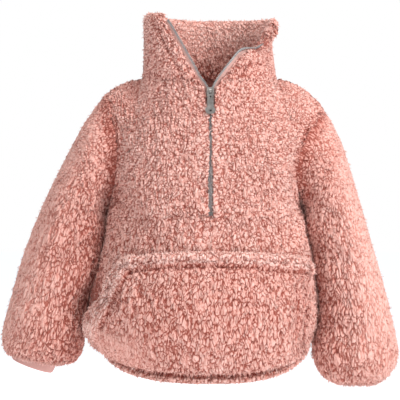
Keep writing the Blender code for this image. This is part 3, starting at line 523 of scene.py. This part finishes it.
for node, face in (("front", -1), ("back", 1)):
    mesh = dense_copy(node, lambda p: p.z > -0.285, lambda p, n: out_of_body(p.x, p.y, n.x, n.y) > -0.001)
    points, normals = read_points(mesh)
    outward = out_of_body(points[:, 0], points[:, 1], normals[:, 0], normals[:, 1])
    shown = np.clip(outward / 0.02 + 0.5, 0, 1)
    hem = away_from(points, sharp_edges(node, lambda p, run: p.z < -0.295 and abs(run.z) < 0.7 * run.length))
    seam = away_from(points, sharp_edges(node, lambda p, run: p.z > -0.34 and abs(p.y) < 0.001))
    set_in = sharp_edges(
        node, lambda p, run: -0.17 < p.z < -0.02 and abs(p.x) > 0.09 and abs(run.z) > 0.4 * run.length
    )
    armhole = away_from(points, set_in)
    neck = away_from(points, sharp_edges(node, lambda p, run: p.z > -0.03 and abs(p.x) < 0.085))
    beside = ramp(np.abs(normals[:, 0]), 0.6, 0.4) * ramp(-points[:, 2], 0.15, 0.02)
    beside *= ramp(points[:, 2], -0.315, 0.02)
    raised = np.interp(hem, *HEM_BAND) + 0.0052 * beside + 0.0008 * fade(armhole, 0.008)
    raised += folds(points, normals, face, FRONT_FOLDS if face < 0 else BACK_FOLDS)
    # Painted shade: in the armhole seam, along the neckline, in the hem's stitched groove, and on the side
    # walls under the sleeves, heavier on the viewer's left, away from the main light.
    hollow = 0.55 * fade(armhole, 0.006) + 0.15 * fade(neck, 0.005) + 0.4 * fade(hem - HEM_GROOVE, 0.0018)
    hollow += np.where(points[:, 0] > 0, 0.12, 0.35) * beside
    moved = np.array([[0.0, -0.0012 * face, 0.0]]) * fade(seam, 0.003)[:, None]
    if face < 0:
        # Painted shadow: a dark patch on the front, on the viewer's left, where the sleeve, the body's side and
        # the pocket's opening meet.
        hollow += 0.7 * fade(np.hypot((points[:, 0] + 0.133) / 0.014, (points[:, 2] + 0.254) / 0.024), 1.0)
        closing = np.interp(points[:, 2], (-0.116, -0.106, -0.046, -0.036), (0.0017, 0.0031, 0.0031, 0.0))
        near_zip = fade(np.abs(points[:, 0]) - 0.0049, 0.006)
        moved[:, 0] = -np.sign(points[:, 0]) * closing * near_zip
        raised += 0.0010 * near_zip * (points[:, 2] > -0.17)
    lie = points / CURL_ACROSS
    lie[:, 1] += face * 40
    lie[:, 2] = lock_rows(points[:, 2])
    cloth = grow_pile(node + "_fleece", mesh, shown, lie, DOWN, 0.0030, 0.0010, raised, moved, hollow)
    width, length, area = PATTERNS[node]
    fleece_piece(node + "_cloth", node, cloth)
    grow_fringe(node + "_fringe", cloth, DOWN, count=3600, seed=11)

# The sleeves: one piece of fleece each, closed under the arm, set into the armhole and turned under at its end.
SLEEVE_AXIS = {  # the middle of the sleeve at some heights, upward: x, y, z
    "sleeve_left": [
        (-0.205, -0.013, -0.33),
        (-0.183, -0.008, -0.23),
        (-0.156, -0.002, -0.15),
        (-0.128, 0.0, -0.09),
    ],
    "sleeve_right": [
        (0.174, -0.013, -0.36),
        (0.166, -0.008, -0.235),
        (0.147, -0.002, -0.16),
        (0.128, 0.0, -0.10),
    ],
}
SLEEVE_FOLDS = {
    "sleeve_left": [
        (-0.170, -0.125, -0.190, -0.225, 0.0030, 0.010),
        (-0.118, -0.100, -0.150, -0.130, -0.0032, 0.008),
        (-0.140, -0.165, -0.172, -0.180, -0.0034, 0.009),
        (-0.155, -0.215, -0.200, -0.228, -0.0034, 0.010),
        (-0.180, -0.262, -0.226, -0.255, -0.0028, 0.010),
        (-0.190, -0.300, -0.228, -0.312, -0.0024, 0.009),
    ],
    "sleeve_right": [
        (0.120, -0.100, 0.150, -0.120, -0.0032, 0.008),
        (0.128, -0.150, 0.160, -0.180, -0.0036, 0.009),
        (0.175, -0.140, 0.190, -0.240, 0.0026, 0.012),
        (0.140, -0.210, 0.185, -0.228, -0.0034, 0.010),
        (0.145, -0.265, 0.200, -0.258, -0.0030, 0.010),
        (0.150, -0.310, 0.200, -0.322, -0.0028, 0.010),
        (0.152, -0.352, 0.196, -0.356, -0.0036, 0.005),
    ],
}
SLEEVE_BACK_FOLDS = {
    "sleeve_left": [
        (-0.120, -0.110, -0.160, -0.135, -0.0032, 0.009),
        (-0.145, -0.185, -0.190, -0.200, -0.0034, 0.010),
        (-0.165, -0.240, -0.212, -0.250, -0.0030, 0.011),
        (-0.185, -0.295, -0.228, -0.300, -0.0026, 0.009),
    ],
    "sleeve_right": [
        (0.120, -0.110, 0.158, -0.140, -0.0032, 0.009),
        (0.135, -0.190, 0.185, -0.205, -0.0034, 0.010),
        (0.145, -0.250, 0.200, -0.262, -0.0032, 0.011),
        (0.150, -0.315, 0.200, -0.322, -0.0028, 0.010),
    ],
}
for node, axis in SLEEVE_AXIS.items():
    axis = np.array(axis)
    side = math.copysign(1, axis[0, 0])

    def middle_of(z, axis=axis):
        return np.stack([np.interp(z, axis[:, 2], axis[:, i]) for i in range(2)], axis=-1)

    def sleeve_shows(p, n, middle_of=middle_of):
        off = middle_of(p.z)
        return n.x * (p.x - off[0]) + n.y * (p.y - off[1]) > -0.004 or p.z < -0.30

    def at_armhole(p, side=side):
        return p.z > -0.17 and p.x * side < 0.142

    down = axis[0] - axis[2]
    down = down / np.linalg.norm(down)
    mesh = dense_copy(node, at_armhole, sleeve_shows, Vector(down))
    points, normals = read_points(mesh)
    off = points[:, :2] - middle_of(points[:, 2])
    outward = np.sum(normals[:, :2] * off, axis=1)
    shown = np.clip(outward / 0.008 + 0.5, 0, 1)
    shown = np.maximum(shown, np.clip(-normals[:, 2] * 3, 0, 1) * (points[:, 2] < -0.30))
    seam = away_from(points, sharp_edges(node, lambda p, run, at_armhole=at_armhole: at_armhole(p)))
    joined = fade(seam, 0.004)
    beside = ramp(-side * normals[:, 0], 0.4, 0.5) * ramp(-points[:, 2], 0.16, 0.02)
    raised = 0.0064 * beside + 0.0012 * joined
    for face, table in ((-1, SLEEVE_FOLDS[node]), (1, SLEEVE_BACK_FOLDS[node])):
        raised += folds(points, normals, face, table)
    moved = np.array([[-0.0030 * side, 0.0, 0.0010]]) * joined[:, None]
    outer = np.clip(side * normals[:, 0] * 0.9 + 0.25, 0, 1)
    # Painted shade: along the armhole seam and on the side against the body, and the whole sleeve on the
    # viewer's left darker than the right, away from the main light; the outer side is painted lighter.
    hollow = 0.60 * fade(seam, 0.009) + 0.40 * beside + (0.20 if side < 0 else 0.10) - 0.12 * outer
    across = np.cross(down, (0, 1, 0))
    rows = lock_rows(points @ -down - 0.03)
    lie = np.stack([points @ across / CURL_ACROSS + 90 * side, points[:, 1] / CURL_ACROSS, rows], axis=1)
    brushed = 0.10 + 0.28 * outer
    cloth = grow_pile(
        node + "_fleece", mesh, shown, lie, down[None], 0.0030, 0.0014, raised, moved, hollow, brushed
    )
    fleece_piece(node + "_cloth", node, cloth)
    grow_fringe(node + "_fringe", cloth, down[None], count=4600, seed=12)

# The collar: fleece cut double and folded over at its top edge, so that both its sides show pile.
COLLAR_GROOVE = 0.0155
COLLAR_STITCH = (
    (0.0, 0.010, 0.0135, COLLAR_GROOVE, 0.0175, 0.021),
    (0.0, 0.0006, -0.0002, -0.0022, -0.0002, 0.0),
)
mesh = dense_copy("collar", lambda p: p.z < 0.008, lambda p, n: True)
points, normals = read_points(mesh)
seam = away_from(points, sharp_edges("collar", lambda p, run: p.z < 0.008 and abs(run.z) < 0.8 * run.length))
joined = fade(seam, 0.004)
opening = sharp_edges("collar", lambda p, run: p.y < 0 and p.z > 0.0 and abs(run.z) > 0.3 * run.length)
zip_side = away_from(points, opening)
outside = np.clip(-normals[:, 1] * 3, 0, 1)
raised = 0.0008 * joined + outside * np.interp(zip_side, *COLLAR_STITCH)
# Painted shade: along the neck seam, heavier on the viewer's left, and in the stitched groove beside the zip;
# inside the collar, painted shade low down that turns to painted light near the top edge; and on the outside, a
# little painted shade on the viewer's right.
hollow = np.clip(0.22 - points[:, 0] * 3, 0.08, 0.35) * joined
hollow += 0.4 * outside * fade(zip_side - COLLAR_GROOVE, 0.0018)
inward = -np.sum(normals[:, :2] * (points[:, :2] - (0.0, 0.008)), axis=1)
inside = ramp(inward, 0.0, 0.025) * ramp(points[:, 1], -0.03, 0.02)
hollow += inside * np.interp(points[:, 2], (0.0, 0.025, 0.050), (0.45, 0.20, -0.14))
hollow += 0.16 * (1 - inside) * ramp(points[:, 0], 0.0, 0.03)
brushed = 0.26 * inside * np.interp(points[:, 2], (0.010, 0.040), (0.0, 1.0))
lie = points / CURL_ACROSS + 200
ragged = np.sin(points[:, 0] * 900 + 2 * np.sin(points[:, 0] * 310))
ragged += np.sin(points[:, 0] * 1700 + points[:, 1] * 400)
moved = DOWN * (joined * (0.0030 + 0.0008 * ragged))[:, None]
shown = np.ones(len(points))
cloth = grow_pile("collar_fleece", mesh, shown, lie, DOWN, 0.0020, 0.0008, raised, moved, hollow, brushed)
fleece_piece("collar_cloth", "collar", cloth)
grow_fringe("collar_fringe", cloth, DOWN, count=2600, seed=13)

# The pocket: one patch of fleece with turned edges, stitched to the front along its top and bottom. A
# stitched groove lies a finger's width inside the top edge and the hand openings, and the turned band
# outside it is full.
TOP_GROOVE = [
    (-0.0946, -0.2278),
    (-0.069, -0.2239),
    (-0.0403, -0.2211),
    (0.005, -0.2204),
    (0.0564, -0.2233),
    (0.1113, -0.2301),
]
LEFT_GROOVE = [(-0.1271, -0.2935), (-0.1099, -0.2581), (-0.0940, -0.2265)]
RIGHT_GROOVE = [(0.1000, -0.2420), (0.1015, -0.2700), (0.1000, -0.3000)]
TOP_STARTS = -0.094  # where the top edge's band begins, at the corner on the viewer's left
POCKET_FOLDS = [
    (-0.118, -0.300, -0.095, -0.280, -0.0030, 0.010),
    (-0.085, -0.235, -0.060, -0.275, -0.0024, 0.010),
    (-0.050, -0.300, 0.030, -0.315, 0.0016, 0.014),
    (0.070, -0.245, 0.050, -0.300, -0.0026, 0.011),
    (0.105, -0.250, 0.098, -0.310, -0.0028, 0.009),
    (-0.010, -0.240, 0.000, -0.280, -0.0016, 0.012),
]
BAND = (
    (-0.020, -0.013, -0.006, -0.0022, 0.0, 0.0022, 0.006),
    (0.0004, 0.0016, 0.0022, 0.0010, -0.0034, -0.0008, 0.0),
)
mesh = dense_copy("pocket", lambda p: False, lambda p, n: out_of_body(p.x, p.y, n.x, n.y) > -0.004)
points, normals = read_points(mesh)
outward = out_of_body(points[:, 0], points[:, 1], normals[:, 0], normals[:, 1])
shown = np.clip(outward / 0.02 + 0.6, 0, 1)
left_in = np.interp(points[:, 2], (-0.300, -0.282, -0.258, -0.225), (0.0, 0.002, 0.011, 0.0))
right_in = np.interp(points[:, 2], (-0.332, -0.312, -0.245, -0.228), (0.0, 0.012, 0.011, 0.0))
drawn_in = left_in * ramp(-points[:, 0], 0.100, 0.030) - right_in * ramp(points[:, 0], 0.092, 0.028)
front_points = points + np.stack([drawn_in, 0 * drawn_in, 0 * drawn_in], axis=1)
top, left, right = (near_line(front_points, line) for line in (TOP_GROOVE, LEFT_GROOVE, RIGHT_GROOVE))
has_top = front_points[:, 0] > TOP_STARTS
raised = np.interp(top, *BAND) * has_top + np.interp(left, *BAND) - 0.0024 * fade(right, 0.0024)
raised += folds(points, normals, -1, POCKET_FOLDS)
# Painted shade: over the whole patch, and in the stitched grooves along the top edge and both hand openings;
# the turned bands outside the grooves are painted lighter, where light falls on them.
hollow = 0.14 + 0.45 * fade(top, 0.0022) * has_top + 0.6 * fade(left, 0.0024) + 0.35 * fade(right, 0.0020)
hollow -= 0.30 * ramp(-np.minimum(top, left), 0.0015, 0.003)
brushed = 0.45 * ramp(-points[:, 2], 0.285, 0.03) * ramp(-points[:, 0], 0.050, 0.04)
lie = points / CURL_ACROSS
lie[:, 2] = lock_rows(points[:, 2]) + 71
moved = front_points - points
cloth = grow_pile("pocket_fleece", mesh, shown, lie, DOWN, 0.0030, 0.0012, raised, moved, hollow, brushed)
fleece_piece("pocket_cloth", "pocket", cloth)
grow_fringe("pocket_fringe", cloth, DOWN, count=3000, seed=14)

# The cuffs: smooth jersey bands, double, in the same dye. The one on the viewer's left shows all round.
jersey, shader, start = finish_for(
    "dusty_jersey",
    {"Roughness": 0.85, "Specular IOR Level": 0.2, "Sheen Weight": 0.1, "Sheen Roughness": 0.4},
)
place = start.node("ShaderNodeTexCoord", {}, {}, output=3)
ribs = {"Vector": place, "Scale": 330.0, "Distortion": 1.0}
wales = start.node("ShaderNodeTexWave", {"bands_direction": "X"}, ribs)
cloud = start.node("ShaderNodeTexNoise", {}, {"Vector": place, "Scale": 60.0, "Detail": 2.0})
speck = start.node("ShaderNodeTexNoise", {}, {"Vector": place, "Scale": 900.0, "Detail": 2.0})
tone = wales * 0.25 + cloud * 0.45 + speck * 0.3
base_colour = start.node(
    "ShaderNodeValToRGB",
    {"stops": [(0.2, (0.44, 0.215, 0.185)), (0.8, (0.60, 0.335, 0.300))]},
    {"Fac": tone},
)
bump = start.node("ShaderNodeBump", {}, {"Strength": 0.4, "Distance": 0.0004, "Height": wales + speck * 0.5})
start.tree.links.new(base_colour.socket, shader.inputs["Base Color"])
start.tree.links.new(bump.socket, shader.inputs["Normal"])
for node, girth, height in (("cuff_left", 0.168, 0.023), ("cuff_right", 0.088, 0.013)):
    mesh = dense_copy(node, lambda p: False, lambda p, n: False)
    piece = bpy.data.objects.new(node + "_cloth", mesh)
    scene.collection.objects.link(piece)
    mesh.materials.clear()
    mesh.materials.append(jersey)
    mesh.shade_smooth()
    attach(piece, "garment")
    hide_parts(node)

# The zip's tapes: two woven strips sewn under the fleece's edges. A few millimetres of each show beside the
# teeth, and less on the collar, where the fleece rolls over them.
woven, shader, start = finish_for("pale_tape", {"Roughness": 0.75, "Specular IOR Level": 0.3})
place = start.node("ShaderNodeTexCoord", {}, {}, output=3)
weave = start.node("ShaderNodeTexChecker", {}, {"Vector": place, "Scale": 2200.0}, output=1)
speck = start.node("ShaderNodeTexNoise", {}, {"Vector": place, "Scale": 800.0, "Detail": 2.0})
tone = weave * 0.4 + speck * 0.6
base_colour = tone.blend((0.38, 0.20, 0.175, 1), (0.60, 0.37, 0.325, 1))
bump = start.node("ShaderNodeBump", {}, {"Strength": 0.4, "Distance": 0.0003, "Height": tone})
start.tree.links.new(base_colour.socket, shader.inputs["Base Color"])
start.tree.links.new(bump.socket, shader.inputs["Normal"])


def bar_path(node):
    """The middle line of a swept bar, read ring by ring from its lower end."""
    bm = bmesh.new()
    bm.from_mesh(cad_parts[node].data)
    bmesh.ops.remove_doubles(bm, verts=bm.verts, dist=1e-5)
    bm.verts.index_update()
    lowest = min(bm.verts, key=lambda v: v.co.z)
    ring = sorted(bm.verts, key=lambda v: (v.co - lowest.co).length)[:4]
    seen, path = set(ring), []
    while ring:
        path.append(sum((v.co for v in ring), Vector()) / len(ring))
        ring = sorted({e.other_vert(v) for v in ring for e in v.link_edges} - seen, key=lambda v: v.index)
        seen.update(ring)
    bm.free()
    return np.array(path)


def zip_line(side):
    """Places along one edge of the zip, with its directions across, out of the cloth and up."""
    tape, teeth = bar_path("zip_tape_" + side), bar_path("zip_teeth_" + side)
    count = min(len(tape), len(teeth))
    tape, teeth = tape[:count], teeth[:count]
    up = np.gradient(teeth, axis=0)
    up /= np.linalg.norm(up, axis=1, keepdims=True)
    across = teeth - tape
    across -= up * np.sum(across * up, axis=1, keepdims=True)
    across /= np.linalg.norm(across, axis=1, keepdims=True)
    out = np.cross(up, across) * (1 if side == "right" else -1)
    lengths = np.concatenate([[0], np.cumsum(np.linalg.norm(np.diff(teeth, axis=0), axis=1))])
    return lengths, teeth, across, out, up


ZIP_LINES = {side: zip_line(side) for side in ("left", "right")}
TAPE_SECTION = [(-0.0105, 0.0042), (-0.0022, 0.0014), (-0.0002, 0.0004)]  # across, and depth on the chest
TAPE_THICK = 0.0006
for side, (lengths, teeth, across, out, up) in ZIP_LINES.items():
    bm = bmesh.new()
    rings = []
    for at, a, o in zip(teeth, across, out):
        sunk = np.interp(at[2], (-0.022, 0.0), (1.0, 0.05))
        shows = np.interp(at[2], (0.0, 0.025), (1.0, 0.35))
        under = [at + a * x * shows - o * (y * sunk + TAPE_THICK / 2) for x, y in TAPE_SECTION]
        over = [place + o * TAPE_THICK for place in reversed(under)]
        rings.append([bm.verts.new(place) for place in under + over])
    for low, high in zip(rings, rings[1:]):
        for i in range(len(low)):
            j = (i + 1) % len(low)
            bm.faces.new((low[i], low[j], high[j], high[i]))
    bm.faces.new(rings[0])
    bm.faces.new(rings[-1])
    bmesh.ops.recalc_face_normals(bm, faces=bm.faces)
    mesh = bpy.data.meshes.new("tape_" + side)
    bm.to_mesh(mesh)
    bm.free()
    piece = bpy.data.objects.new("tape_" + side, mesh)
    scene.collection.objects.link(piece)
    mesh.materials.append(woven)
    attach(piece, "garment")
    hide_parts("zip_tape_" + side)

# The zip's teeth: metal teeth clamped on the tapes, 1.7 mm apart. Below the slider they mesh, above it the two
# rows part along the edges of the collar.
metal, shader, start = finish_for("brushed_steel", {"Metallic": 1.0})
place = start.node("ShaderNodeTexCoord", {}, {}, output=3)
grains = {"Vector": place, "Scale": 700.0, "Detail": 3.0, "Distortion": 0.4}
grain = start.node("ShaderNodeTexNoise", {}, grains)
patch = start.node("ShaderNodeTexNoise", {}, {"Vector": place, "Scale": 120.0, "Detail": 2.0})
base_colour = (grain * 0.5 + patch * 0.5).blend((0.28, 0.275, 0.27, 1), (0.50, 0.495, 0.49, 1))
start.tree.links.new(base_colour.socket, shader.inputs["Base Color"])
start.tree.links.new((grain * 0.25 + 0.52).socket, shader.inputs["Roughness"])
bump = start.node("ShaderNodeBump", {}, {"Strength": 0.2, "Distance": 0.0001, "Height": grain})
start.tree.links.new(bump.socket, shader.inputs["Normal"])

TOOTH_PITCH = 0.0017
TOOTH_SIZE = (0.0027, 0.0016, 0.00105)  # across, out and up
TOOTH_BEVEL = 0.00025
ON_THE_FLAP = 0.0046  # how far the turned-out flap carries the top of the right row forward
bm = bmesh.new()
bmesh.ops.create_cube(bm, size=1.0)
bmesh.ops.scale(bm, verts=bm.verts, vec=TOOTH_SIZE)
bmesh.ops.bevel(
    bm, geom=list(bm.edges), offset=TOOTH_BEVEL, offset_type="OFFSET", segments=1, profile=0.5, affect="EDGES",
    material=-1,
)
tooth = bpy.data.meshes.new("tooth")
bm.to_mesh(tooth)
bm.free()
for side, (lengths, teeth, across, out, up) in ZIP_LINES.items():
    start_at = TOOTH_PITCH * (0.5 if side == "left" else 1.0)
    bm = bmesh.new()
    for length in np.arange(start_at, lengths[-1], TOOTH_PITCH):
        at, a, o, u = (
            np.array([np.interp(length, lengths, values[:, i]) for i in range(3)])
            for values in (teeth, across, out, up)
        )
        turn = Matrix((Vector(a), Vector(o), Vector(u))).transposed().to_4x4()
        forward = np.interp(at[2], (0.020, 0.029), (0.0, ON_THE_FLAP)) if side == "right" else 0.0
        turn.translation = Vector(at + a * 0.0002 + (0.0, -forward, forward * 0.4))
        before = len(bm.verts)
        bm.from_mesh(tooth)
        bm.verts.ensure_lookup_table()
        bmesh.ops.transform(bm, matrix=turn, verts=bm.verts[before:])
    bmesh.ops.recalc_face_normals(bm, faces=bm.faces)
    mesh = bpy.data.meshes.new("teeth_" + side)
    bm.to_mesh(mesh)
    bm.free()
    piece = bpy.data.objects.new("teeth_" + side, mesh)
    scene.collection.objects.link(piece)
    mesh.materials.append(metal)
    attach(piece, "garment")
    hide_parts("zip_teeth_" + side)

# The slider, the pull tab and the bottom stop: die-cast and stamped metal, darker than the teeth, with rounded
# edges. The tab swings on the slider's arch.
dark_metal, shader, start = finish_for("dull_nickel", {"Metallic": 1.0})
place = start.node("ShaderNodeTexCoord", {}, {}, output=3)
grains = {"Vector": place, "Scale": 700.0, "Detail": 3.0, "Distortion": 0.4}
grain = start.node("ShaderNodeTexNoise", {}, grains)
patch = start.node("ShaderNodeTexNoise", {}, {"Vector": place, "Scale": 150.0, "Detail": 2.0})
base_colour = (grain * 0.5 + patch * 0.5).blend((0.16, 0.145, 0.135, 1), (0.42, 0.39, 0.37, 1))
start.tree.links.new(base_colour.socket, shader.inputs["Base Color"])
start.tree.links.new((patch * 0.3 + 0.25).socket, shader.inputs["Roughness"])
bump = start.node("ShaderNodeBump", {}, {"Strength": 0.2, "Distance": 0.0001, "Height": grain})
start.tree.links.new(bump.socket, shader.inputs["Normal"])
for node, body, edge in (
    ("zip_slider", "garment", 0.00018),
    ("pull_tab", "pull_tab", 0.00022),
    ("zip_stop", "garment", 0.00020),
):
    bm = bmesh.new()
    bm.from_mesh(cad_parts[node].data)
    bmesh.ops.remove_doubles(bm, verts=bm.verts, dist=1e-6)
    bmesh.ops.dissolve_limit(bm, angle_limit=math.radians(2), verts=bm.verts, edges=bm.edges)
    sharp = [e for e in bm.edges if e.calc_face_angle(0) > math.radians(40)]
    bmesh.ops.bevel(
        bm, geom=sharp, offset=edge, offset_type="OFFSET", segments=2, profile=0.5, affect="EDGES", material=-1,
        clamp_overlap=True,
    )
    bmesh.ops.triangulate(bm, faces=bm.faces)
    mesh = bpy.data.meshes.new(node + "_metal")
    bm.to_mesh(mesh)
    bm.free()
    piece = bpy.data.objects.new(node + "_metal", mesh)
    scene.collection.objects.link(piece)
    mesh.materials.clear()
    mesh.materials.append(dark_metal)
    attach(piece, body)
    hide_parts(node)
